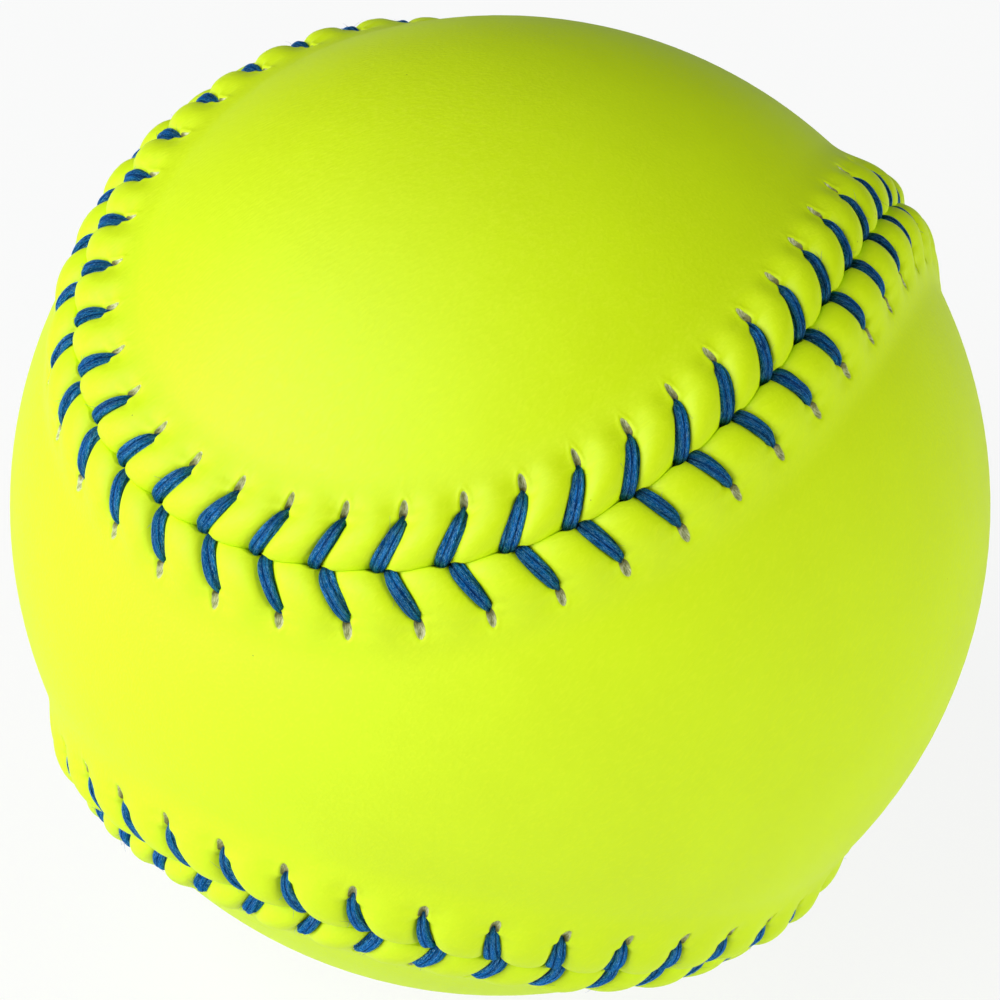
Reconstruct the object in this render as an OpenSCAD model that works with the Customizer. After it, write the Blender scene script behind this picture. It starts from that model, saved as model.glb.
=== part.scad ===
// Softball: a solid core inside two figure-eight cover panels, sewn edge to edge with two threads.
// Origin at the centre of the ball. +Z runs through the middle of one lobe of panel A,
// and -Y through the middle of the neck of panel B.

/* [Ball] */
// Diameter over the plain leather, away from the seam
ball_d = 96.4; // [90:0.1:102]
// Thickness of the cover leather
cover_t = 1.5; // [1.4:0.1:2.2]
// Room between the cover and the core, which the cement fills
cement_gap = 0.25; // [0.2:0.05:0.4]

/* [Seam] */
// How far the seam swings from side to side, as a share of its base circle
seam_swing_share = 0.5; // [0.46:0.01:0.53]
// How far the seam rises towards the necks, as a share of its base circle
seam_rise_share = 1.17; // [1.1:0.01:1.24]
// Gap between the edges of the two panels
seam_gap = 0.12; // [0.08:0.02:0.3]
// Height of the panel edges over the ball between two stitches
seam_h = 1; // [0.7:0.05:1.4]
// Height of the leather pillows over the ball
pillow_h = 2.1; // [1.9:0.05:2.5]
// Distance from the seam to the top of a pillow
crest_w = 2.5; // [2.2:0.1:2.8]
// Distance from the seam at which the pillows have faded into the ball
fade_w = 9; // [8.4:0.1:10]

/* [Stitching] */
// Number of stitches round the ball
stitches = 88; // [80:4:92]
// Diameter of the waxed thread
thread_d = 1.1; // [0.9:0.05:1.2]
// Depth of the thread below the tops of the pillows
thread_sink = 0.1; // [0.05:0.05:0.3]
// Diameter of the thread where it runs under the leather
run_d = 1.2; // [1.15:0.05:1.3]
// Distance from the seam to where the thread stands in a hole
leg_w = 5.2; // [4.9:0.05:5.4]
// Distance from each end of a leg to the leather that it lies on
tongue_w = 1.3; // [1.25:0.05:1.5]
// Distance from the seam to the far end of a hole
hole_w = 6.45; // [6.2:0.05:6.8]
// Height of the leather over the ball at the far end of a hole
hole_h = 0.15; // [0.05:0.05:0.4]
// How far the far end of a hole lies behind the point of its stitch
lean = 2.15; // [1:0.05:2.6]
// How much more or less than that it is halfway between the ends of the lobes
lean_drift = 0.55; // [0:0.05:0.8]
// Room round the thread
clearance = 0.12; // [0.1:0.01:0.16]

/* [Hidden] */

// Each side of the seam has a sign: panel A lies to the left of the stitching direction
A = -1;
B = 1;

// Radii from the centre of the ball outwards
ball_r = ball_d / 2;
inner_r = ball_r - cover_t;
core_r = inner_r - cement_gap;
run_r = core_r + clearance + run_d / 2;
tunnel_r = run_r + run_d / 2 + 2 * clearance;
crest_r = ball_r + pillow_h - thread_sink - thread_d / 2;

// Where two threads pass in the seam, each stands this far from the point of the stitch
pass_share = 0.42;
pass = (thread_d + run_d) * pass_share;
// Half the width of a hole
slit_w = thread_d / 2 + clearance;
// How far a run reaches past the thread that stands on it
run_end = clearance;

// The cover is drawn as rows along the seam, with four columns for each stitch.
// Two columns follow the channel under a leg, and two the pillow after it.
columns = 4 * stitches;
slope_share = 0.4;
channel_ws = [
    tongue_w,
    tongue_w + (leg_w / 2 - tongue_w) * slope_share,
    leg_w / 2,
    leg_w - tongue_w,
    hole_w
];
pillow_ws = [
    seam_gap / 2,
    crest_w * slope_share,
    crest_w,
    leg_w - tongue_w,
    hole_w
];
last_row = len(pillow_ws) - 1;
// Where a pillow's columns stand between two channels, at the seam and from its top outwards
edge_share = 0.12;
crest_share = 0.28;
rung_cells = 9;

// Steps that draw an arc of thread, and sides of the thread and of the core where they are drawn flat
arc_steps = 8;
thread_sides = 20;
core_sides = 96;
// The circle of a leg begins at its side and that of a run below, away from where the two cross
leg_start = 90;
run_start = 180;

function unit(v) = v / norm(v);
function mix(a, b, share) = unit(a * (1 - share) + b * share);
function slerp(a, b, share) =
    let (span = acos(a * b))
    (a * sin(span * (1 - share)) + b * sin(span * share)) / sin(span);
function degrees(length) = length / ball_r * 180 / PI;

// The seam: one closed curve on the ball that divides it into two equal figure eights
function seam(u) = unit([
    -sin(u) - seam_swing_share * sin(3 * u),
    -seam_rise_share * cos(2 * u),
    cos(u) - seam_swing_share * cos(3 * u)
]);

// Distance along the seam against its angle, so that the stitches can be spaced evenly.
// The first stitch stands half a pitch from the start, so none stands on the tip of a lobe.
seam_steps = 720;
step_u = 360 / seam_steps;
seam_table = [
    for (
        i = 0, run = 0;
        i <= seam_steps;
        run = run + ball_r * norm(seam((i + 1) * step_u) - seam(i * step_u)), i = i + 1
    )
    [run, i * step_u]
];
seam_length = seam_table[seam_steps][0];
pitch = seam_length / stitches;
function stitch_u(i) = lookup((i + 0.5) * pitch, seam_table);

// Direction from the centre of the ball to a point beside stitch i, at a distance along and across the seam
function beside(u, along, across) =
    let (
        p = seam(u),
        g = unit(seam(u + step_u) - seam(u - step_u)),
        n = unit(cross(p, g))
    )
    unit(p + g * tan(degrees(along)) + n * tan(degrees(across)));

stitch_us = [for (i = [0 : stitches - 1]) stitch_u(i)];
function u_of(i) = stitch_us[(i + stitches) % stitches];

// A stitch's line leans back from its point in the seam to its hole, and goes straight on from there
function leaned(u, side, w) = -(lean + side * lean_drift * sin(2 * u)) * min(w, hole_w) / hole_w;
function on_stitch(i, side, w, along = 0) =
    let (u = u_of(i))
    beside(u, leaned(u, side, w) + along, side * w);

// Where a leg of stitch i goes down between the panels and down its hole
function gap_dir(i, side) = beside(u_of(i), -side * pass, 0);
function hole_dir(i, side) = on_stitch(i, side, leg_w);

// A leg of a stitch is an arc from the run under the seam, over the leather, to the run under its hole
function half_angle(a, b) = acos(min(1, a * b)) / 2;
function leg_centre(half) =
    (pow(crest_r, 2) - pow(run_r, 2)) / (2 * (crest_r - run_r * cos(half)));

// How far a leg's line lies along the seam from its stitch's line, at a distance from the seam
function leg_line(side, w) = -side * pass * (1 - w / leg_w);

// The two sides of a stitch's channel: at the seam it takes in both threads, and then one leg
function channel_sides(side, row) =
    row == 0
        ? [-pass - slit_w, pass + slit_w]
        : leg_line(side, channel_ws[row]) * [1, 1] + slit_w * [-1, 1];

// Distance from the centre of the ball to the leather along a pillow, and in the channel of stitch i
function pillow_r(w) =
    ball_r + (
        w <= crest_w
            ? seam_h + (pillow_h - seam_h) * sin(90 * w / crest_w)
            : pillow_h * (1 + cos(180 * (w - crest_w) / (fade_w - crest_w))) / 2
    );
function channel_r(i, side, w) =
    let (
        a = gap_dir(i, side),
        b = hole_dir(i, side),
        c = leg_centre(half_angle(a, b)),
        r = crest_r - c - slit_w,
        under = on_stitch(i, side, w, leg_line(side, w)),
        off = acos(min(1, mix(a, b, 0.5) * under))
    )
    w > leg_w ? ball_r + hole_h : c * cos(off) + sqrt(pow(r, 2) - pow(c * sin(off), 2));

// One row of a panel, as directions from the centre of the ball and as points on the leather
function row_dirs(side, row) =
    let (
        cw = channel_ws[row],
        pw = pillow_ws[row],
        sides = channel_sides(side, row),
        share = edge_share + (crest_share - edge_share) * min(1, pw / crest_w)
    )
    [
        for (i = [0 : stitches - 1])
            let (a = on_stitch(i, side, pw, sides[1]), b = on_stitch(i + 1, side, pw, sides[0]))
            each [
                on_stitch(i, side, cw, sides[0]),
                on_stitch(i, side, cw, sides[1]),
                mix(a, b, share),
                mix(a, b, 1 - share)
            ]
    ];
function row_points(side, row) =
    let (dirs = row_dirs(side, row), top = pillow_r(pillow_ws[row]))
    [
        for (i = [0 : stitches - 1])
            let (low = channel_r(i, side, channel_ws[row]), c = 4 * i)
            each [dirs[c] * low, dirs[c + 1] * low, dirs[c + 2] * top, dirs[c + 3] * top]
    ];

// Where a panel's pillows have faded, one point lies beyond the middle of each pillow.
// From there rungs cross the panel, between points that mirror each other in its long axis.
function fade_dirs(side) = [
    for (i = [0 : stitches - 1])
        mix(on_stitch(i, side, fade_w), on_stitch(i + 1, side, fade_w), 0.5)
];
function tip(side) = side == A ? stitches - 1 : stitches / 4 - 1;
function rung_dirs(side) =
    let (dirs = fade_dirs(side), t = tip(side))
    [
        for (j = [1 : stitches / 2 - 1])
            let (a = dirs[(t + j) % stitches], b = dirs[(t - j + stitches) % stitches])
            for (k = [1 : rung_cells - 1]) slerp(a, b, k / rung_cells)
    ];

// Faces, as loops of point numbers. A strip joins two closed rows of the same count.
function strip(a, b, n) = [
    for (c = [0 : n - 1])
        let (d = (c + 1) % n)
        each [[a + c, a + d, b + d], [a + c, b + d, b + c]]
];
function flip(faces, turned) = [for (f = faces) turned ? [f[0], f[2], f[1]] : f];

// The rungs' faces: a fan at each tip and strips between rungs
function rung_faces(ring, inside, side) =
    let (
        t = tip(side),
        rungs = stitches / 2 - 1,
        cell = function (j, k)
            k == 0 ? ring + (t + j) % stitches
            : k == rung_cells ? ring + (t - j + stitches) % stitches
            : inside + (j - 1) * (rung_cells - 1) + k - 1
    )
    [
        for (k = [0 : rung_cells - 1])
            each [
                [ring + t, cell(1, k), cell(1, k + 1)],
                [ring + (t + stitches / 2) % stitches, cell(rungs, k + 1), cell(rungs, k)]
            ],
        for (j = [1 : rungs - 1], k = [0 : rung_cells - 1])
            each [
                [cell(j, k), cell(j + 1, k), cell(j + 1, k + 1)],
                [cell(j, k), cell(j + 1, k + 1), cell(j, k + 1)]
            ]
    ];

// One figure-eight panel: pillows and channels outside, a raised tunnel for the thread inside,
// and a slit at the end of each stitch
module cover_panel(side) {
    n = stitches;
    fade = fade_dirs(side);
    rungs = rung_dirs(side);
    edge = row_dirs(side, 0);
    near = row_dirs(side, last_row - 1);
    far = row_dirs(side, last_row);
    in_near = [for (i = [0 : n - 1]) each [near[4 * i], near[4 * i + 1]]];
    in_far = [for (i = [0 : n - 1]) each [far[4 * i], far[4 * i + 1]]];
    points = [
        for (row = [0 : last_row]) each row_points(side, row),
        each fade * ball_r,
        each rungs * ball_r,
        each edge * tunnel_r,
        each in_near * tunnel_r,
        each in_far * tunnel_r,
        each fade * inner_r,
        each rungs * inner_r
    ];
    near_out = (last_row - 1) * columns;
    far_out = last_row * columns;
    fade_out = far_out + columns;
    rungs_out = fade_out + n;
    edge_in = rungs_out + len(rungs);
    near_in = edge_in + columns;
    far_in = near_in + 2 * n;
    fade_in = far_in + 2 * n;
    rungs_in = fade_in + n;
    outside = [
        for (row = [0 : last_row - 2]) each strip(row * columns, (row + 1) * columns, columns),
        for (c = [0 : columns - 1])
            let (d = (c + 1) % columns)
            if (c % 4 != 0)
                each [
                    [near_out + c, near_out + d, far_out + d],
                    [near_out + c, far_out + d, far_out + c]
                ],
        for (i = [0 : n - 1])
            let (c = far_out + 4 * i, e = far_out + (4 * i + 4) % columns, f = fade_out + i)
            each [
                [c, c + 1, f],
                [c + 1, c + 2, f],
                [c + 2, c + 3, f],
                [c + 3, e, f],
                [c, f, fade_out + (i + n - 1) % n]
            ],
        each rung_faces(fade_out, rungs_out, side)
    ];
    inside = [
        for (i = [0 : n - 1])
            let (
                c = edge_in + 4 * i,
                e = edge_in + (4 * i + 4) % columns,
                g = near_in + 2 * i,
                h = near_in + (2 * i + 2) % (2 * n)
            )
            each [
                [c, g + 1, c + 1],
                [c, g, g + 1],
                [c + 1, g + 1, c + 2],
                [c + 2, g + 1, h],
                [c + 2, h, c + 3],
                [c + 3, h, e]
            ],
        for (i = [0 : n - 1])
            let (
                g = near_in + 2 * i + 1,
                h = near_in + (2 * i + 2) % (2 * n),
                k = far_in + 2 * i + 1,
                m = far_in + (2 * i + 2) % (2 * n)
            )
            each [[g, m, h], [g, k, m]],
        for (i = [0 : n - 1])
            let (c = far_in + 2 * i, e = far_in + (2 * i + 2) % (2 * n), f = fade_in + i)
            each [
                [c, f, c + 1],
                [c + 1, f, e],
                [c, fade_in + (i + n - 1) % n, f]
            ],
        each flip(rung_faces(fade_in, rungs_in, side), true)
    ];
    walls = [
        each strip(edge_in, 0, columns),
        for (i = [0 : n - 1])
            let (
                top = [near_out + 4 * i, near_out + 4 * i + 1, far_out + 4 * i + 1, far_out + 4 * i],
                low = [near_in + 2 * i, near_in + 2 * i + 1, far_in + 2 * i + 1, far_in + 2 * i]
            )
            for (k = [0 : 3])
                let (m = (k + 1) % 4)
                each [[top[k], top[m], low[m]], [top[k], low[m], low[k]]]
    ];
    faces = concat(outside, inside, walls);
    color([0.84, 0.96, 0.1])
        polyhedron(points = points, faces = flip(faces, side == A));
}

// Turns the XY plane to the one through two directions, with X halfway between them
module between(a, b) {
    x = unit(a + b);
    y = unit(b - a);
    z = cross(x, y);
    multmatrix([
        [x[0], y[0], z[0], 0],
        [x[1], y[1], z[1], 0],
        [x[2], y[2], z[2], 0],
        [0, 0, 0, 1]
    ])
        children();
}

// An arc of thread about a centre on the X axis, which reaches as far to each side of that axis
module thread_arc(centre, r, sweep, d, start) {
    steps = ceil(180 / sweep) * arc_steps;
    translate([centre, 0, 0])
        rotate([0, 0, -sweep])
            rotate_extrude(angle = 2 * sweep, $fn = steps)
                translate([r, 0])
                    rotate([0, 0, start])
                        circle(d = d, $fn = thread_sides);
}

// A leg of stitch i, over the leather between the seam and its hole,
// and the run from there under the other panel to the hole of the next stitch
module half_stitch(i, side) {
    top = gap_dir(i, side);
    hole = hole_dir(i, side);
    next = hole_dir(i + 1, -side);
    half = half_angle(top, hole);
    centre = leg_centre(half);
    sweep = atan2(run_r * sin(half), run_r * cos(half) - centre);
    run_sweep = half_angle(top, next) + degrees(run_end);
    between(top, hole)
        thread_arc(centre, crest_r - centre, sweep, thread_d, leg_start);
    between(top, next)
        thread_arc(0, run_r, run_sweep, run_d, run_start);
}

// A thread takes the two sides of the seam by turns, so two threads make every stitch a V
module stitch_thread(first) {
    color([0.12, 0.36, 0.64])
        for (i = [0 : stitches - 1])
            half_stitch(i, i % 2 == 0 ? first : -first);
}

module core() {
    color([0.93, 0.92, 0.87])
        sphere(r = core_r, $fn = core_sides);
}
module cover_panel_a() cover_panel(A);
module cover_panel_b() cover_panel(B);
module stitch_thread_1() stitch_thread(A);
module stitch_thread_2() stitch_thread(B);

core();
cover_panel_a();
cover_panel_b();
stitch_thread_1();
stitch_thread_2();
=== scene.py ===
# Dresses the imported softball: the two sewn leather panels, the two waxed threads that join them,
# the fibres that stand off the threads, and the foam core inside.
# Lengths are in millimetres until a mesh is made, and in metres in the finishes and the studio.
import math

import bpy
import numpy as np
from mathutils import Matrix, Vector


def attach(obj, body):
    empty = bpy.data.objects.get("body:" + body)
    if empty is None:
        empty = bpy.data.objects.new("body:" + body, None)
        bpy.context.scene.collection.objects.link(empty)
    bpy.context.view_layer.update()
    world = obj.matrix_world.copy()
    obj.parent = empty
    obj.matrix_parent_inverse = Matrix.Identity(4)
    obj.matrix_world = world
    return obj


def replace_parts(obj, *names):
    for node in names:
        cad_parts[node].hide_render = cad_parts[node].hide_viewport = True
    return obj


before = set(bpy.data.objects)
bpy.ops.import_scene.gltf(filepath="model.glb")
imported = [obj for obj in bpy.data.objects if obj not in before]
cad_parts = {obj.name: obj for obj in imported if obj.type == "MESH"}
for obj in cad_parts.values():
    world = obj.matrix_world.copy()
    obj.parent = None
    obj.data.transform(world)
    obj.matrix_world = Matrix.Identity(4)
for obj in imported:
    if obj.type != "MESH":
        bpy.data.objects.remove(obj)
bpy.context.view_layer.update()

MM = 0.001

# Each side of the seam has a sign. Seen from outside, panel A lies to the right of the
# stitching direction.
A, B = -1, 1

# The ball and its seam, as in the part's source
LEATHER_R = 48.2
INNER_R = 46.7
RUN_R = 47.1
TUNNEL_R = 47.75
SWING_SHARE = 0.5
RISE_SHARE = 1.17
STITCHES = 88


# ---------------------------------------------------------------- the seam's line on the ball


def unit(v):
    return v / np.linalg.norm(v, axis=-1, keepdims=True)


def eased(low, high, x):
    """0 below low, 1 above high, and smooth between."""
    share = np.clip((x - low) / (high - low), 0, 1)
    return share * share * (3 - 2 * share)


def seam(u):
    return unit(
        np.stack(
            [
                -np.sin(u) - SWING_SHARE * np.sin(3 * u),
                -RISE_SHARE * np.cos(2 * u),
                np.cos(u) - SWING_SHARE * np.cos(3 * u),
            ],
            axis=-1,
        )
    )


SEAM_STEPS = 7200
# The first stitch stands this share of a stitch from the start of the seam
FIRST_STITCH = 0.5
SEAM_ANGLES = np.linspace(0, 2 * math.pi, SEAM_STEPS + 1)
SEAM_RUNS = np.linalg.norm(np.diff(seam(SEAM_ANGLES), axis=0), axis=1) * LEATHER_R
SEAM_LENGTHS = np.concatenate([[0], np.cumsum(SEAM_RUNS)])
PITCH = SEAM_LENGTHS[-1] / STITCHES


def seam_angle(place):
    """The seam's angle at a place along it, counted in stitches."""
    return np.interp(((place + FIRST_STITCH) % STITCHES) * PITCH, SEAM_LENGTHS, SEAM_ANGLES)


def beside(place, along, across):
    """Directions from the centre of the ball to points beside the seam."""
    u = seam_angle(place)
    nudge = 0.001
    p = seam(u)
    forward = unit(seam(u + nudge) - seam(u - nudge))
    sideways = unit(np.cross(p, forward))
    return unit(
        p
        + forward * np.tan(along / LEATHER_R)[..., None]
        + sideways * np.tan(across / LEATHER_R)[..., None]
    )


# ---------------------------------------------------------------- how a stitch lies on a panel

# The two legs of a stitch pass each other in the seam, each this far from the stitch's point
PASS = 0.64
# A leg leans back on its way to its slit, and the slit points straight away from the seam.
# The lean drifts along the seam: its mean, its swings twice and four times round,
# and the seam's angle where it is most
LEAN = {A: (1.5, 1.05, 0.25, math.radians(-29)), B: (1.6, 1.0, 0.6, math.radians(-7))}
LEG_END_W = 4.5
KINK_SHARPNESS = 9
SCALLOP = 0.1
SCALLOP_LAG = 1.5
SCALLOP_REACH = 2


def lean_share(w):
    rest = (1 - w / LEG_END_W) * KINK_SHARPNESS
    return 1 - np.logaddexp(0, rest) / KINK_SHARPNESS


def leg_along(place, side, w):
    mean, twice, four_times, most = LEAN[side]
    turn = 2 * (seam_angle(place) - most)
    back = mean + twice * np.cos(turn) + four_times * np.cos(2 * turn)
    share = lean_share(w)
    return -back * share - side * PASS * (1 - share)


def scallop(x):
    """The seam's swing to either side between one stitch and the next."""
    return SCALLOP * np.cos(2 * math.pi * (x + SCALLOP_LAG) / PITCH)


def on_panel(place, side, w):
    """Direction to a point of a panel. Lines of one place run along the legs and slits."""
    along = leg_along(place, side, w)
    swing = scallop((place - np.round(place)) * PITCH + along) * np.exp(-w / SCALLOP_REACH)
    return beside(place, along, side * w + swing)


# ---------------------------------------------------------------- the leather's relief

# Names that end in _W are distances from the seam, and names that end in _H heights over the ball

# Pillows: the leather between two stitches
PILLOW_H = 2.1
CREST_W = 2.3
EDGE_H = 1.05
EDGE_ROLL = 0.7
FADE_W = 9.2
PILLOW_STEEPNESS = 2.3
SOFT_FROM_W, SOFT_TO_W = 3.6, 6.0
UNEVEN_SHARE = 0.05
UNEVEN_FROM_W, UNEVEN_TO_W = 0.2, 1.5

# Legs: the thread over the leather
LEG_TOP_H = 1.26
LEG_HALF_THICKNESS = 0.5
LEG_MID_W = 2.4
SEAM_REACH = 2.4
HOLE_REACH = 2.3
SEAM_TURN = 3.0
HOLE_TURN = 2.2
LEG_WS = [0, 0.5, 1.2, 2.4, 3.4, 4.1, 4.7]
LEG_HALF_WIDTHS = [0.72, 0.79, 0.83, 0.81, 0.71, 0.57, 0.42]

# Channels: the leather under a leg, and the hollow past it
CHANNEL_SINK = 0.42
CHANNEL_FROM_W, CHANNEL_TO_W = 0.3, 4.15
CHANNEL_FLOOR_SHARE = 0.8
HOLLOW_SHARE = 0.48
HOLLOW_REACH = 1.5
HOLLOW_FROM_W, HOLLOW_TO_W = 3.9, 5.2

# Slits: the cut holes that the legs go down
SLIT_W = 5.4
SLIT_HALF_LENGTH = 1.08
SLIT_HALF_WIDTH = 0.44
SLIT_DEPTH = 0.6
SLIT_TAPER = 0.1
SLIT_ROUNDNESS = 2.3
SLIT_WALL_FROM, SLIT_WALL_TO = 0.42, 1.05
LIP_RISE = 0.06
LIP_AT = 1.35
LIP_REACH = 0.28
OFF_SLIT = 3.0

# Edges: where the panels meet, and where they give way to the thread
EDGE_GAP = 0.003
EDGE_PINCH = 0.15
PINCH_REACH = 0.5
EDGE_YIELD = {A: 0.22, B: 0.27}
YIELD_REACH = 1.0
EDGE_SPREAD_W = 2


def pillow_height(w):
    """Height of the leather over the ball halfway between two stitches."""
    near_share = np.clip(w / CREST_W, 0, 1)
    near = EDGE_H + (PILLOW_H - EDGE_H) * np.sin(math.pi / 2 * near_share) ** EDGE_ROLL
    far_share = np.clip((w - CREST_W) / (FADE_W - CREST_W), 0, 1)
    far = PILLOW_H * (1 + np.cos(math.pi * far_share)) / 2
    return np.where(w < CREST_W, near, far)


def leg_height(w):
    """Height of a leg's middle. It turns down sharply at the seam, and rounder at its slit."""
    low = RUN_R - LEATHER_R
    by_seam = np.clip((LEG_MID_W - w) / SEAM_REACH, 0, 1)
    by_hole = np.clip((w - LEG_MID_W) / HOLE_REACH, 0, 1)
    share = np.where(
        w < LEG_MID_W,
        (1 - by_seam**SEAM_TURN) ** (1 / SEAM_TURN),
        (1 - by_hole**HOLE_TURN) ** (1 / HOLE_TURN),
    )
    return low + (LEG_TOP_H - low) * share


def leg_half_width(w):
    return np.interp(w, LEG_WS, LEG_HALF_WIDTHS)


def channel_height(w):
    """Height of the leather under a leg, and past its slit."""
    under = leg_height(np.clip(w, CHANNEL_FROM_W, CHANNEL_TO_W)) - CHANNEL_SINK
    hollow = HOLLOW_SHARE * np.exp(-(((w - SLIT_W) / HOLLOW_REACH) ** 2))
    past = pillow_height(w) * (1 - hollow)
    share = eased(HOLLOW_FROM_W, HOLLOW_TO_W, w)
    return under * (1 - share) + past * share


def relief(i, t, w, side, looks):
    """Height of the leather over the ball at points that lie t stitches past stitch i.

    It also gives how far a point is from its slit, 1 at the slit's rim, and its place
    across and along the slit, in half widths and half lengths of it.
    """
    middle_w = w[:, 0]
    slope = np.gradient(leg_along(0.0 * middle_w, side, middle_w), middle_w)
    # Slanting legs are nearer to each other than their places along the seam are
    slant = 1 / np.sqrt(1 + slope**2)[:, None]
    across = np.abs(t) * PITCH * slant
    floor_half = CHANNEL_FLOOR_SHARE * leg_half_width(w)
    crest_at = PITCH / 2 * slant
    x = np.clip((across - floor_half) / (crest_at - floor_half), 0, 1)
    steep = np.sqrt(1 - (1 - x) ** PILLOW_STEEPNESS)
    soft = (1 - np.cos(math.pi * x)) / 2
    share = eased(SOFT_FROM_W, SOFT_TO_W, w)
    profile = steep * (1 - share) + soft * share
    pillow = np.where(t >= 0, i, i - 1) % STITCHES
    uneven = UNEVEN_SHARE * looks["pillow"][pillow] * eased(UNEVEN_FROM_W, UNEVEN_TO_W, w)
    crest = pillow_height(w) * (1 + uneven)
    low = channel_height(w)
    h = low + (crest - low) * profile
    slit_t = (t * PITCH - looks["slit_shift"][i]) / (SLIT_HALF_WIDTH * looks["slit_width"][i])
    slit_w = (w - SLIT_W) / (SLIT_HALF_LENGTH * looks["slit_length"][i])
    # A slit is a little wider by its thread than at its far end
    narrowed = slit_t / (1 - SLIT_TAPER * np.clip(slit_w, -1, 1))
    out = np.sqrt(narrowed**2 + np.abs(slit_w) ** SLIT_ROUNDNESS)
    h = h - SLIT_DEPTH * (1 - eased(SLIT_WALL_FROM, SLIT_WALL_TO, out))
    h = h + LIP_RISE * np.exp(-(((out - LIP_AT) / LIP_REACH) ** 2))
    return h, np.minimum(out, OFF_SLIT), slit_t, slit_w


def side_looks(seed):
    """Small differences from one stitch to the next."""
    dice = np.random.default_rng(seed)
    return {
        "pillow": dice.uniform(-1, 1, STITCHES),
        "slit_shift": dice.uniform(-0.08, 0.08, STITCHES),
        "slit_width": dice.uniform(0.86, 1.12, STITCHES),
        "slit_length": dice.uniform(0.92, 1.08, STITCHES),
        "leg_width": dice.uniform(0.9, 1.08, STITCHES),
    }


LOOKS = {A: side_looks(seed=11), B: side_looks(seed=12)}


# ---------------------------------------------------------------- cover panels

# A panel is a grid: columns along the seam, crowded round each stitch, and rows away from it.
# Past the last row each third column goes on, and rungs of cells cross the rest of the panel.
COLUMNS = 24
COARSE = 3
CROWD = 0.6
column_steps = np.arange(COLUMNS) / COLUMNS
COLUMN_SHARES = column_steps - CROWD * np.sin(2 * math.pi * column_steps) / (2 * math.pi)
ROWS = np.concatenate(
    [
        [0, 0.06, 0.15, 0.28, 0.45, 0.68, 0.98, 1.35, 1.75, 2.15, 2.6, 3.1, 3.6, 4.0],
        np.arange(4.2, 6.7, 0.15),
        [6.8, 7.15, 7.6, 8.2, 8.9, 9.7],
    ]
)
COARSE_W = 10.6
TUNNEL_W = 6.9
RUNG_CELLS = 24
FIRST_RUNG = 6


def panel_points(side):
    place = (np.arange(STITCHES)[:, None] + COLUMN_SHARES[None, :]).ravel()
    i = np.round(place).astype(int)
    t = place - i
    i = i % STITCHES
    edge = EDGE_GAP + EDGE_PINCH * np.exp(-((t * PITCH / PINCH_REACH) ** 2))
    # The edge gives way where a leg of the other panel dives into the seam
    beyond = np.clip((t * PITCH - 2 * side * PASS) / YIELD_REACH, -1, 1)
    edge += EDGE_YIELD[side] * np.cos(beyond * math.pi / 2) ** 2
    w = ROWS[:, None] + edge[None, :] * np.clip(1 - ROWS[:, None] / EDGE_SPREAD_W, 0, 1)
    grid = np.broadcast_to
    dirs = on_panel(grid(place, w.shape), side, w)
    h, *slit = relief(grid(i, w.shape), grid(t, w.shape), w, side, LOOKS[side])
    return place, w, dirs, dirs * (LEATHER_R + h)[..., None], slit


def rungs(ring, tip, cells):
    """Points between ring points that mirror each other, from tip to tip."""
    n = len(ring)
    places = np.arange(FIRST_RUNG, n // 2 - FIRST_RUNG + 1)
    a, b = ring[(tip + places) % n], ring[(tip - places) % n]
    span = np.arccos(np.clip((a * b).sum(-1), -1, 1))[:, None]
    shares = [k / cells for k in range(1, cells)]
    rows = [(a * np.sin(span * (1 - s)) + b * np.sin(span * s)) / np.sin(span) for s in shares]
    return np.stack(rows, axis=1)


def rung_faces(ring, inside, tip, n, cells):
    """Faces of the rungs, with one face that closes each tip."""
    count = n // 2 - 2 * FIRST_RUNG + 1

    def row(j):
        a = ring + (tip + FIRST_RUNG + j) % n
        b = ring + (tip - FIRST_RUNG - j) % n
        start = inside + j * (cells - 1)
        return [a, *range(start, start + cells - 1), b]

    rows = [row(j) for j in range(count)]
    faces = []
    for low, high in zip(rows, rows[1:]):
        for k in range(cells):
            faces.append((low[k], high[k], high[k + 1], low[k + 1]))
    near = [ring + (tip + k) % n for k in range(-FIRST_RUNG + 1, FIRST_RUNG)]
    far = [ring + (tip + n // 2 + k) % n for k in range(-FIRST_RUNG + 1, FIRST_RUNG)]
    faces.append((*near, *rows[0]))
    faces.append((*far, *reversed(rows[-1])))
    return faces


def strip_faces(a, b, n):
    return [(a + c, a + (c + 1) % n, b + (c + 1) % n, b + c) for c in range(n)]


def coarse_faces(fine, coarse, n):
    """A band from a ring of n points to one with a third as many."""
    m = n // COARSE
    faces = []
    for c in range(m):
        near = [fine + (COARSE * c + k) % n for k in range(COARSE + 1)]
        faces.append((*near, coarse + (c + 1) % m, coarse + c))
    return faces


def mesh_object(name, points, faces, smooth=True):
    mesh = bpy.data.meshes.new(name)
    mesh.from_pydata((np.asarray(points) * MM).tolist(), [], faces)
    mesh.update()
    mesh.polygons.foreach_set("use_smooth", [smooth] * len(mesh.polygons))
    piece = bpy.data.objects.new(name, mesh)
    bpy.context.scene.collection.objects.link(piece)
    return piece


def note_on_points(piece, label, kind, values):
    """Keeps a value of each point for the finish: a number is FLOAT, a vector FLOAT_VECTOR."""
    key = "value" if kind == "FLOAT" else "vector"
    notes = piece.data.attributes.new(label, kind, "POINT")
    notes.data.foreach_set(key, values.astype(np.float32).ravel())


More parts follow.
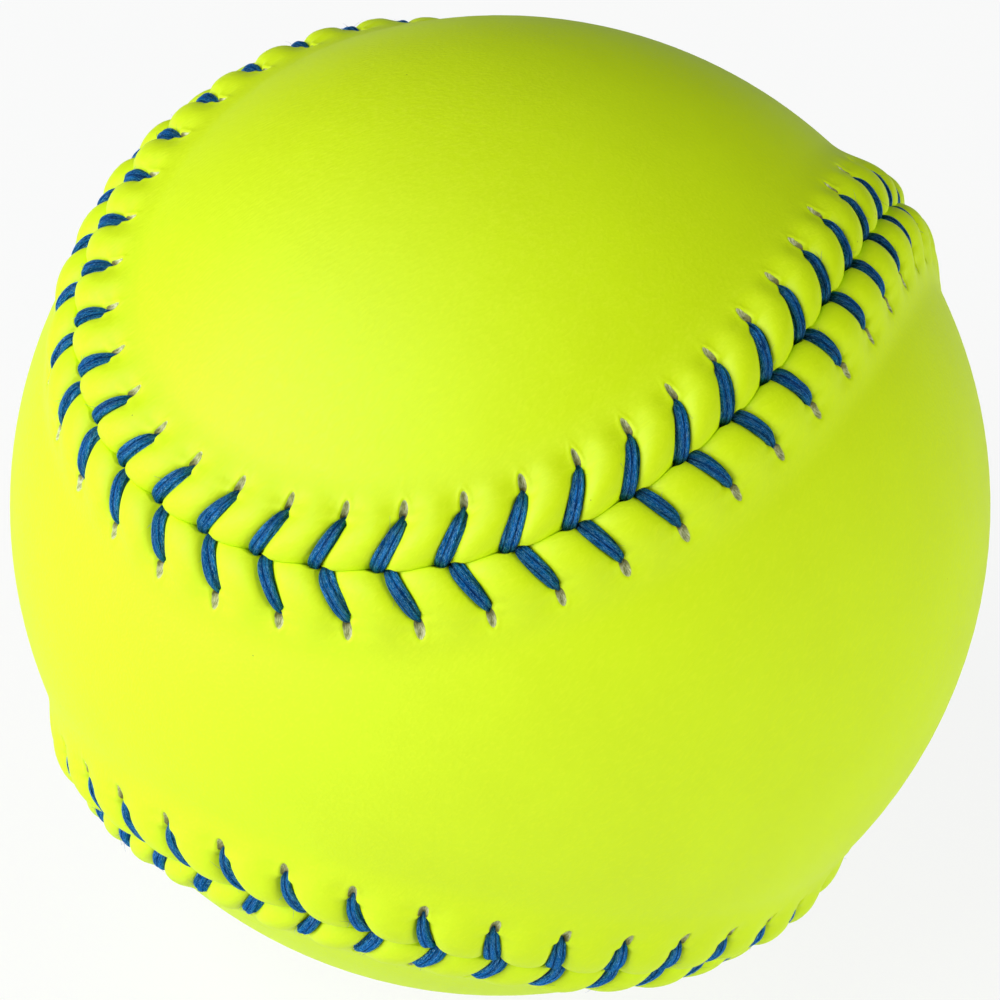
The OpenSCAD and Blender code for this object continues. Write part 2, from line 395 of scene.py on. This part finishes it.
def cover_panel(side, name):
    place, w, dirs, outer, slit = panel_points(side)
    rows, n = w.shape
    m = n // COARSE
    coarse_place = place[::COARSE]
    fade = on_panel(coarse_place, side, np.full(m, COARSE_W))
    tunnel = on_panel(coarse_place, side, np.full(m, TUNNEL_W))
    per_stitch = COLUMNS // COARSE
    tip_stitch = STITCHES - 1 if side == A else STITCHES // 4 - 1
    tip = tip_stitch * per_stitch + per_stitch // 2
    across = rungs(fade, tip, RUNG_CELLS).reshape(-1, 3)
    points = np.concatenate(
        [
            outer.reshape(-1, 3),
            fade * LEATHER_R,
            across * LEATHER_R,
            dirs[0] * TUNNEL_R,
            tunnel * TUNNEL_R,
            fade * INNER_R,
            across * INNER_R,
        ]
    )
    fade_out = rows * n
    across_out = fade_out + m
    edge_in = across_out + len(across)
    tunnel_in = edge_in + n
    fade_in = tunnel_in + m
    across_in = fade_in + m
    upper = []
    for row in range(rows - 1):
        upper += strip_faces(row * n, (row + 1) * n, n)
    upper += coarse_faces((rows - 1) * n, fade_out, n)
    upper += rung_faces(fade_out, across_out, tip, m, RUNG_CELLS)
    lower = coarse_faces(edge_in, tunnel_in, n)
    lower += strip_faces(tunnel_in, fade_in, m)
    lower += rung_faces(fade_in, across_in, tip, m, RUNG_CELLS)
    lower += strip_faces(0, edge_in, n)
    if side == B:
        faces = upper + [face[::-1] for face in lower]
    else:
        faces = [face[::-1] for face in upper] + lower
    panel = mesh_object(name, points, faces)
    for label, inside in zip(("slit", "slit_across", "slit_along"), slit):
        values = np.full(len(points), OFF_SLIT, np.float32)
        values[: rows * n] = inside.ravel()
        note_on_points(panel, label, "FLOAT", values)
    return panel


# ---------------------------------------------------------------- threads

# A leg is the part of a rounded arch between two angles, in shares of a half turn
ARCH_FROM, ARCH_TO = 0.96, 0.03
ARCH_STEPS = 400
LEG_STEPS = 26
SETTLE_STEPS = 2
# A run lies under the leather, over this part of the way from one leg to the next,
# with a bend at each end
RUN_FROM, RUN_TO = 0.14, 0.86
RUN_STEPS = 5
BEND_STEPS = 2
RUN_HALF = 0.44
# The thread's skin
SIDES = 32
PLIES = 4
PLY_DEPTH = 0.25
PLY_ROUNDNESS = 0.8
TWIST_PER_MM = 0.14


def leg_path(i, side):
    """How far points of a leg lie from the seam, and the points, from its slit to the seam."""
    turn = np.linspace(ARCH_FROM, ARCH_TO, ARCH_STEPS) * math.pi
    reach = -np.cos(turn)
    w = np.where(
        reach < 0,
        LEG_MID_W - SEAM_REACH * np.abs(reach) ** (2 / SEAM_TURN),
        LEG_MID_W + HOLE_REACH * np.abs(reach) ** (2 / HOLE_TURN),
    )
    points = on_panel(np.full(len(w), float(i)), side, w) * (LEATHER_R + leg_height(w))[:, None]
    steps = np.linalg.norm(np.diff(points, axis=0), axis=1)
    travelled = np.concatenate([[0], np.cumsum(steps)])
    even = np.linspace(0, travelled[-1], LEG_STEPS)
    spread = [np.interp(even, travelled, values) for values in (w, *points.T)]
    return spread[0], np.stack(spread[1:], axis=-1)


def bent(a, corner, b, count):
    """Points of a bend from a to b round a corner."""
    shares = np.arange(1, count + 1)[:, None] / (count + 1)
    return a * (1 - shares) ** 2 + 2 * corner * shares * (1 - shares) + b * shares**2


def thread_path(first):
    """The middle of a whole thread: its points, half widths, half heights and flat directions."""
    points, wide, high, breadth = [], [], [], []
    legs = []
    for i in range(STITCHES):
        side = first if i % 2 == 0 else -first
        legs.append((side, *leg_path(i, side)))
    for i, (side, w, leg) in enumerate(legs):
        _, _, following = legs[(i + 1) % STITCHES]
        start, end = unit(leg[-1]), unit(following[0])
        span = math.acos(float(start @ end))
        shares = np.linspace(RUN_FROM, RUN_TO, RUN_STEPS)[:, None]
        run = (start * np.sin(span * (1 - shares)) + end * np.sin(span * shares)) / math.sin(span)
        run = run * RUN_R
        first_bend = bent(leg[-1], start * RUN_R, run[0], BEND_STEPS)
        second_bend = bent(run[-1], end * RUN_R, following[0], BEND_STEPS)
        under = np.concatenate([first_bend, run, second_bend])
        scale = LOOKS[side]["leg_width"][i]
        ends = np.minimum(np.arange(LEG_STEPS), np.arange(LEG_STEPS)[::-1])
        settle = eased(0, SETTLE_STEPS, ends)
        points.append(leg)
        points.append(under)
        wide.append(RUN_HALF + (leg_half_width(w) * scale - RUN_HALF) * settle)
        wide.append(np.full(len(under), RUN_HALF))
        high.append(np.full(LEG_STEPS, LEG_HALF_THICKNESS))
        high.append(np.full(len(under), RUN_HALF))
        middle = unit(leg.mean(axis=0))
        sideways = unit(np.cross(leg[-1] - leg[0], middle))
        breadth.append(np.repeat(sideways[None], LEG_STEPS + len(under), axis=0))
    points, breadth = np.concatenate(points), np.concatenate(breadth)
    wide, high = np.concatenate(wide), np.concatenate(high)
    # The loop is joined in the middle of a run, where nothing shows
    start = -(BEND_STEPS + RUN_STEPS // 2 + 1)
    return [np.roll(values, -start, axis=0) for values in (points, wide, high, breadth)]


def carried_frames(points):
    """A closed thread's direction at each point, and two across it that close on themselves."""
    forward = unit(np.roll(points, -1, axis=0) - np.roll(points, 1, axis=0))
    across = unit(np.cross(forward[0], points[0]))
    firsts = []
    for tangent in [*forward, forward[0]]:
        across = across - tangent * (across @ tangent)
        across = across / math.sqrt(across @ across)
        firsts.append(across)
    firsts = np.array(firsts)
    other = np.cross(forward[0], firsts[0])
    off = math.atan2(firsts[-1] @ other, firsts[-1] @ firsts[0])
    firsts = firsts[:-1]
    seconds = np.cross(forward, firsts)
    angle = (-off * np.arange(len(points)) / len(points))[:, None]
    return (
        forward,
        firsts * np.cos(angle) + seconds * np.sin(angle),
        seconds * np.cos(angle) - firsts * np.sin(angle),
    )


def stitch_thread(first, name):
    points, wide, high, breadth = thread_path(first)
    forward, firsts, seconds = carried_frames(points)
    n = len(points)
    steps = np.linalg.norm(np.roll(points, -1, axis=0) - points, axis=1)
    length = steps.sum()
    travelled = np.concatenate([[0], np.cumsum(steps)[:-1]])
    turns = round(TWIST_PER_MM * length / (2 * math.pi))
    twist = 2 * math.pi * turns * travelled / length
    breadth = unit(breadth - forward * (breadth * forward).sum(-1, keepdims=True))
    thick = np.cross(forward, breadth)
    phi = np.arange(SIDES) * 2 * math.pi / SIDES
    cosines, sines = np.cos(phi)[None, :, None], np.sin(phi)[None, :, None]
    rays = firsts[:, None] * cosines + seconds[:, None] * sines
    over_wide = (rays * breadth[:, None]).sum(-1) / wide[:, None]
    over_high = (rays * thick[:, None]).sum(-1) / high[:, None]
    radius = 1 / np.sqrt(over_wide**2 + over_high**2)
    lay = phi[None, :] + twist[:, None]
    groove = 1 - np.abs(np.cos(PLIES * lay / 2)) ** PLY_ROUNDNESS
    radius = radius * (1 - PLY_DEPTH * groove)
    skin = points[:, None] + rays * radius[..., None]
    faces = []
    for k in range(n):
        a, b = k * SIDES, (k + 1) % n * SIDES
        for c in range(SIDES):
            d = (c + 1) % SIDES
            faces.append((a + c, a + d, b + d, b + c))
    thread = mesh_object(name, skin.reshape(-1, 3), faces)
    along = np.broadcast_to(travelled[:, None], lay.shape)
    fibre = np.stack([along, np.cos(lay), np.sin(lay)], axis=-1)
    note_on_points(thread, "fibre", "FLOAT_VECTOR", fibre)
    note_on_points(thread, "groove", "FLOAT", groove)
    return thread


# ---------------------------------------------------------------- stray fibres

FIBRES_PER_LEG = 9
FIBRE_R = 0.016
FIBRE_TIP_SHARE = 0.4
FIBRE_STEPS = 6
FIBRE_SIDES = 3
FIBRE_SEED = 21
# A fibre starts at this share of the way out to the skin, and at most this turn from straight up
FIBRE_DEPTH_SHARE = 0.8
FIBRE_TURN = 1.3
# How much it stands off, and how far it bends sideways, along the leg and upwards
STAND_LEAST, STAND_MOST = 0.2, 0.8
STAND_UP = 0.1
BEND_SIDEWAYS, BEND_ALONG, BEND_UP = 0.7, 0.5, 0.2
# Most fibres are near the shortest length
FIBRE_SHORTEST = 0.35
FIBRE_LONGER = 0.9
FIBRE_RARITY = 3
# Fibres stay clear of the ends of a leg
FIBRE_FIRST, FIBRE_LAST = 4, LEG_STEPS - 6
FARTHEST_PLACE = 900


def stray_fibre(dice, middle, forward, half):
    """The path of a fibre that stands off a leg, from just inside its skin."""
    up = unit(middle)
    sideways = np.cross(up, forward)
    turn = dice.uniform(-FIBRE_TURN, FIBRE_TURN)
    rise, swing = math.cos(turn), math.sin(turn)
    root = middle + up * rise * LEG_HALF_THICKNESS * FIBRE_DEPTH_SHARE
    root = root + sideways * swing * half * FIBRE_DEPTH_SHARE
    heading = (up * rise + sideways * swing) * dice.uniform(STAND_LEAST, STAND_MOST)
    heading = unit(heading + forward * dice.choice([-1, 1]) + up * STAND_UP)
    bend = sideways * dice.uniform(-BEND_SIDEWAYS, BEND_SIDEWAYS)
    bend = bend + forward * dice.uniform(-BEND_ALONG, BEND_ALONG)
    bend = bend + up * dice.uniform(-BEND_UP, BEND_UP)
    length = FIBRE_SHORTEST + FIBRE_LONGER * dice.uniform() ** FIBRE_RARITY
    run = np.linspace(0, length, FIBRE_STEPS)[:, None]
    return root + heading * run + bend * run**2


def fibre_rings(path):
    """Rings of points round a fibre, which thins towards its tip."""
    phi = (np.arange(FIBRE_SIDES) * 2 * math.pi / FIBRE_SIDES)[:, None]
    tangent = unit(np.gradient(path, axis=0))
    first = unit(np.cross(tangent, path[0]))
    second = np.cross(tangent, first)
    radius = FIBRE_R * np.linspace(1, FIBRE_TIP_SHARE, FIBRE_STEPS)[:, None, None]
    ring = first[:, None] * np.cos(phi) + second[:, None] * np.sin(phi)
    return (path[:, None] + ring * radius).reshape(-1, 3)


def fibre_faces(start):
    faces = []
    for step in range(FIBRE_STEPS - 1):
        low = start + step * FIBRE_SIDES
        high = low + FIBRE_SIDES
        for c in range(FIBRE_SIDES):
            d = (c + 1) % FIBRE_SIDES
            faces.append((low + c, low + d, high + d, high + c))
    tip = start + (FIBRE_STEPS - 1) * FIBRE_SIDES
    faces.append(tuple(range(start, start + FIBRE_SIDES))[::-1])
    faces.append(tuple(range(tip, tip + FIBRE_SIDES)))
    return faces


def stray_fibres(name):
    dice = np.random.default_rng(FIBRE_SEED)
    per_fibre = FIBRE_STEPS * FIBRE_SIDES
    points, faces, places = [], [], []
    for side in (A, B):
        for i in range(STITCHES):
            w, leg = leg_path(i, side)
            forward = unit(np.gradient(leg, axis=0))
            for _ in range(FIBRES_PER_LEG):
                k = dice.integers(FIBRE_FIRST, FIBRE_LAST + 1)
                path = stray_fibre(dice, leg[k], forward[k], leg_half_width(w[k]))
                faces += fibre_faces(len(points) * per_fibre)
                points.append(fibre_rings(path))
                places += [dice.uniform(0, FARTHEST_PLACE)] * per_fibre
    fibres = mesh_object(name, np.concatenate(points), faces)
    # Each fibre takes its colour from a place of its own along the thread
    values = np.zeros((len(places), 3), np.float32)
    values[:, 0] = places
    note_on_points(fibres, "fibre", "FLOAT_VECTOR", values)
    return fibres


# ---------------------------------------------------------------- finishes


class Wire:
    """What a socket gives. Python's operators on it add Math nodes."""

    def __init__(self, finish, socket):
        self.finish = finish
        self.socket = socket

    def math(self, operation, *values):
        return self.finish.wire("ShaderNodeMath", {"operation": operation}, dict(enumerate(values)))

    def __add__(self, other):
        return self.math("ADD", self, other)

    def __radd__(self, other):
        return self.math("ADD", other, self)

    def __sub__(self, other):
        return self.math("SUBTRACT", self, other)

    def __rsub__(self, other):
        return self.math("SUBTRACT", other, self)

    def __mul__(self, other):
        return self.math("MULTIPLY", self, other)

    def __rmul__(self, other):
        return self.math("MULTIPLY", other, self)

    def between(self, low, high):
        """0 below low, 1 above high, smooth between."""
        settings = {"interpolation_type": "SMOOTHSTEP"}
        sockets = {"Value": self, "From Min": low, "From Max": high}
        return self.finish.wire("ShaderNodeMapRange", settings, sockets)


class Finish:
    """A material and its node tree."""

    def __init__(self, name):
        self.material = bpy.data.materials.new(name)
        self.material.use_nodes = True
        self.tree = self.material.node_tree
        self.tree.nodes.clear()

    def node(self, kind, settings=None, sockets=None):
        node = self.tree.nodes.new(kind)
        for key, value in (settings or {}).items():
            setattr(node, key, value)
        for key, value in (sockets or {}).items():
            if isinstance(value, Wire):
                self.tree.links.new(value.socket, node.inputs[key])
            else:
                node.inputs[key].default_value = value
        return node

    def wire(self, kind, settings=None, sockets=None, output=0):
        return Wire(self, self.node(kind, settings, sockets).outputs[output])

    def vector(self, operation, a, b, output="Vector"):
        return self.wire("ShaderNodeVectorMath", {"operation": operation}, {0: a, 1: b}, output)

    def attribute(self, name, output="Fac"):
        return self.wire("ShaderNodeAttribute", {"attribute_name": name}, {}, output)

    def noise(self, vector, scale, detail=2.0, roughness=0.5):
        sockets = {"Vector": vector, "Scale": scale, "Detail": detail, "Roughness": roughness}
        return self.wire("ShaderNodeTexNoise", {}, sockets)

    def mix(self, share, a, b):
        """A colour between two, where each is a colour or a wire."""
        # The colour sockets of a Mix node are its inputs 6 and 7 and its output 2
        return self.wire("ShaderNodeMix", {"data_type": "RGBA"}, {0: share, 6: a, 7: b}, 2)

    def bump(self, height, distance, strength=1.0, normal=None):
        sockets = {"Height": height, "Distance": distance, "Strength": strength}
        if normal is not None:
            sockets["Normal"] = normal
        return self.wire("ShaderNodeBump", {}, sockets)

    def place(self):
        return self.wire("ShaderNodeTexCoord", {}, {}, "Object")

    def ended_in(self, shader):
        output = self.node("ShaderNodeOutputMaterial")
        self.tree.links.new(shader.outputs[0], output.inputs[0])
        return self.material

    def surface(self, **sockets):
        """Ends the material in a Principled surface."""
        named = {key.replace("_", " "): value for key, value in sockets.items()}
        return self.ended_in(self.node("ShaderNodeBsdfPrincipled", {}, named))


def colour(red, green, blue):
    """A colour written as it looks on a screen, from 0 to 255."""
    shares = [c / 255 for c in (red, green, blue)]
    linear = [s / 12.92 if s <= 0.04045 else ((s + 0.055) / 1.055) ** 2.4 for s in shares]
    return (*linear, 1.0)


YELLOW_DYE = colour(219, 247, 0)
DEEPER_DYE = colour(217, 244, 0)
# Painted highlight: pale flecks on the grain that stand in for glints of light on the pebbled hide
GRAIN_GLINT = colour(238, 255, 50)
SPECK = colour(176, 196, 10)
# Painted shade in a slit, by the thread's end where the thread goes down
BACKING_SHADE = colour(118, 116, 54)
BACKING_OLIVE = colour(176, 180, 112)
BACKING_PALE = colour(246, 248, 208)
HIDE_DRAWN = (0.351, 0.708, 0.611)
HIDE_DRAW_SHARE = 0.65
GRAIN_GLINT_SHOWN = 0.2
HIDE_ROUGHNESS = 0.6
HIDE_GLOSS = 0.5


def optic_leather():
    finish = Finish("optic_leather")
    place = finish.place()
    slit = finish.attribute("slit")
    across = finish.attribute("slit_across")
    along = finish.attribute("slit_along")
    cloud = finish.noise(place, scale=90, detail=3)
    # The hide is drawn out one way, so its grain lies along that way
    reach = finish.vector("DOT_PRODUCT", place, HIDE_DRAWN, output="Value")
    taken = finish.vector("MULTIPLY", HIDE_DRAWN, reach * HIDE_DRAW_SHARE)
    drawn = finish.vector("SUBTRACT", place, taken)
    grain = finish.noise(drawn, scale=3600, detail=1.5, roughness=0.5)
    dyed = finish.mix(cloud.between(0.3, 0.7), YELLOW_DYE, DEEPER_DYE)
    # Painted highlight: the grain's high points turn pale, standing in for glints on the pebbles
    hide = finish.mix(grain.between(0.45, 0.75) * GRAIN_GLINT_SHOWN, dyed, GRAIN_GLINT)
    # The torn backing inside a slit has painted shade by the thread, where the thread goes down
    # into it, and is pale and stringy towards the tip
    sockets = {0: across * 3.4, 1: along * 0.9, 2: across + along}
    stretch = finish.wire("ShaderNodeCombineXYZ", {}, sockets)
    strings = finish.noise(stretch, scale=1.6, detail=3, roughness=0.6)
    fray = finish.noise(place, scale=2600, detail=4, roughness=0.6)
    pale = finish.mix(strings.between(0.35, 0.62), BACKING_OLIVE, BACKING_PALE)
    out_of_thread_shade = (along + (fray - 0.5) * 1.2).between(-0.7, 0.3)
    backing = finish.mix(out_of_thread_shade, BACKING_SHADE, pale)
    in_slit = 1 - (slit + (fray - 0.5) * 0.12).between(0.86, 0.96)
    speck = finish.wire("ShaderNodeTexVoronoi", {}, {"Vector": place, "Scale": 170}, "Distance")
    specked = finish.mix(1 - speck.between(0.01, 0.02), hide, SPECK)
    swell = finish.noise(place, scale=260, detail=2)
    coarse = finish.bump(swell, distance=0.00012, strength=0.35)
    fine = finish.bump(grain, distance=0.00006, strength=0.6, normal=coarse)
    return finish.surface(
        Base_Color=finish.mix(in_slit, specked, backing),
        Roughness=HIDE_ROUGHNESS + (grain - 0.5) * 0.3 + in_slit * 0.3,
        Normal=finish.bump(in_slit * strings, distance=0.00025, strength=0.8, normal=fine),
        Specular_IOR_Level=HIDE_GLOSS,
    )


THREAD_DEEP = colour(4, 66, 136)
THREAD_BLUE = colour(26, 126, 214)
# Pale hairs that are partly worn fibres and partly painted highlight, where fibres catch the light
PALE_HAIR_AND_GLINT = colour(140, 208, 255)
# Painted shade in the grooves between the plies
PLY_GROOVE_SHADE = colour(0, 28, 70)
WAX_TINT = (0.1, 0.45, 0.8, 1.0)
HAIR_AND_GLINT_SHOWN = 0.85
GROOVE_SHADE_SHOWN = 0.7
THREAD_ROUGHNESS = 0.44
TINTED_SHINE = 0.9


def waxed_thread():
    finish = Finish("waxed_thread")
    fibre = finish.attribute("fibre", "Vector")
    groove = finish.attribute("groove")
    # Strands and hairs are noise drawn out along the thread
    stretch = finish.vector("MULTIPLY", fibre, (0.1, 1, 1))
    strands = finish.noise(stretch, scale=7, detail=3, roughness=0.6)
    short = finish.vector("MULTIPLY", fibre, (0.22, 1, 1))
    hairs = finish.noise(short, scale=17, detail=2, roughness=0.6)
    body = finish.mix(strands.between(0.38, 0.6), THREAD_DEEP, THREAD_BLUE)
    # Short pale flecks: partly worn hairs, partly painted highlight on the fibres
    with_hair_and_glints = finish.mix(hairs.between(0.52, 0.64) * HAIR_AND_GLINT_SHOWN, body, PALE_HAIR_AND_GLINT)
    return finish.surface(
        # Painted shade: the colour darkens down into the grooves between the plies
        Base_Color=finish.mix(groove.between(0.4, 0.9) * GROOVE_SHADE_SHOWN, with_hair_and_glints, PLY_GROOVE_SHADE),
        Roughness=THREAD_ROUGHNESS + (hairs - 0.5) * 0.2,
        Metallic=TINTED_SHINE,
        Normal=finish.bump(strands * 0.5 + hairs * 0.5, distance=0.00035),
        Specular_IOR_Level=0.0,
        Specular_Tint=WAX_TINT,
    )


FOAM_PALE = colour(240, 236, 222)
FOAM_CREAM = colour(226, 220, 202)
FOAM_ROUGHNESS = 0.62


def moulded_foam():
    finish = Finish("moulded_foam")
    place = finish.place()
    cells = finish.noise(place, scale=1400, detail=3, roughness=0.6)
    tone = finish.noise(place, scale=60, detail=2)
    return finish.surface(
        Base_Color=finish.mix(tone.between(0.3, 0.7), FOAM_PALE, FOAM_CREAM),
        Roughness=FOAM_ROUGHNESS + (cells - 0.5) * 0.2,
        Normal=finish.bump(cells, distance=0.00008, strength=0.6),
    )


# ---------------------------------------------------------------- floor, lamps and camera

WHITE = (1, 1, 1, 1)
FLOOR_GREY = colour(248, 248, 248)
FLOOR_WHITE = colour(252, 252, 252)
FLOOR_HALF = 3000.0
# The share of the floor that shows as plain white. The rest takes the shadow.
FLOOR_LIFT = 0.88


def white_floor():
    """A floor that takes the shadow and shows nearly white behind the ball."""
    finish = Finish("white_floor")
    tint = finish.mix(finish.noise(finish.place(), scale=3), FLOOR_GREY, FLOOR_WHITE)
    diffuse = finish.node("ShaderNodeBsdfDiffuse", {}, {"Color": tint})
    glow = finish.node("ShaderNodeEmission", {}, {"Color": WHITE, "Strength": 1.0})
    ray = finish.node("ShaderNodeLightPath")
    camera_ray = Wire(finish, ray.outputs["Is Camera Ray"])
    glossy_ray = Wire(finish, ray.outputs["Is Glossy Ray"])
    clear_ray = Wire(finish, ray.outputs["Is Transmission Ray"])
    shown = camera_ray.math("MAXIMUM", camera_ray, glossy_ray)
    shown = shown.math("MAXIMUM", shown, clear_ray)
    mixed = finish.node("ShaderNodeMixShader", {}, {0: shown * FLOOR_LIFT})
    finish.tree.links.new(diffuse.outputs[0], mixed.inputs[1])
    finish.tree.links.new(glow.outputs[0], mixed.inputs[2])
    return finish.ended_in(mixed)


# The camera, as the photograph's was: its directions, and where the ball's middle lies in the frame
BALL_R = LEATHER_R * MM
CAMERA_RIGHT = Vector((0.8249, 0.5647, 0.0275))
CAMERA_UP = Vector((-0.3276, 0.4378, 0.8373))
CAMERA_BACK = Vector((0.4607, -0.6996, 0.5461))
CAMERA_DISTANCE = 13.24 * BALL_R
FOCAL_PIXELS = 6473.8
FRAME_PIXELS = 1000
SENSOR_MM = 36
BALL_AT = (500.2, 505.3)
CLIP_NEAR, CLIP_FAR = 0.01, 20


def floor():
    corners = [(-1, -1), (1, -1), (1, 1), (-1, 1)]
    points = [(x * FLOOR_HALF, y * FLOOR_HALF, -LEATHER_R) for x, y in corners]
    sheet = mesh_object("floor", points, [(0, 1, 2, 3)], smooth=False)
    sheet.data.materials.append(white_floor())


def camera():
    data = bpy.data.cameras.new("camera")
    data.sensor_width = SENSOR_MM
    data.lens = FOCAL_PIXELS / FRAME_PIXELS * SENSOR_MM
    data.shift_x = (FRAME_PIXELS / 2 - BALL_AT[0]) / FRAME_PIXELS
    data.shift_y = (BALL_AT[1] - FRAME_PIXELS / 2) / FRAME_PIXELS
    data.clip_start, data.clip_end = CLIP_NEAR, CLIP_FAR
    eye = bpy.data.objects.new("camera", data)
    turn = Matrix((CAMERA_RIGHT, CAMERA_UP, CAMERA_BACK)).transposed().to_4x4()
    eye.matrix_world = Matrix.Translation(CAMERA_BACK.normalized() * CAMERA_DISTANCE) @ turn
    bpy.context.scene.collection.objects.link(eye)
    bpy.context.scene.camera = eye


LAMP_DISTANCE = 1.0
AIR_TINT = (0.72, 1, 0.92, 1)
AIR_STRENGTH = 0.1


def lamp(name, right, up, back, size, power):
    """A soft square lamp that faces the ball, placed by the directions of the camera."""
    data = bpy.data.lights.new(name, "AREA")
    data.size = size
    data.energy = power
    light = bpy.data.objects.new(name, data)
    towards = CAMERA_RIGHT * right + CAMERA_UP * up + CAMERA_BACK * back
    place = towards.normalized() * LAMP_DISTANCE
    turn = place.to_track_quat("Z", "Y").to_matrix().to_4x4()
    light.matrix_world = Matrix.Translation(place) @ turn
    bpy.context.scene.collection.objects.link(light)
    return light


def lights():
    lamp("key", right=-0.75, up=0.24, back=0.62, size=1.1, power=13.4)
    fill = lamp("fill", right=0.9, up=-0.17, back=0.4, size=0.6, power=6.7)
    # Of the lamps and the air, only the key shines back from the leather and the wax
    fill.visible_glossy = False
    world = bpy.data.worlds.new("studio")
    world.use_nodes = True
    background = world.node_tree.nodes["Background"]
    background.inputs["Color"].default_value = AIR_TINT
    background.inputs["Strength"].default_value = AIR_STRENGTH
    bpy.context.scene.world = world
    world.cycles_visibility.glossy = False
    bpy.context.scene.view_settings.view_transform = "Standard"


def main():
    """Makes every piece, sets it on its body, and sets up the studio."""
    camera()
    leather, thread = optic_leather(), waxed_thread()
    for side, node in ((A, "cover_panel_a"), (B, "cover_panel_b")):
        panel = cover_panel(side, "leather_" + node)
        panel.data.materials.append(leather)
        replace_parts(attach(panel, "root"), node)
    for first, node in ((A, "stitch_thread_1"), (B, "stitch_thread_2")):
        strand = stitch_thread(first, "waxed_" + node)
        strand.data.materials.append(thread)
        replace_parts(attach(strand, "root"), node)
    fibres = stray_fibres("stray_fibres")
    fibres.data.materials.append(thread)
    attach(fibres, "root")
    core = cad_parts["core"]
    core.data.materials.clear()
    core.data.materials.append(moulded_foam())
    floor()
    lights()


main()
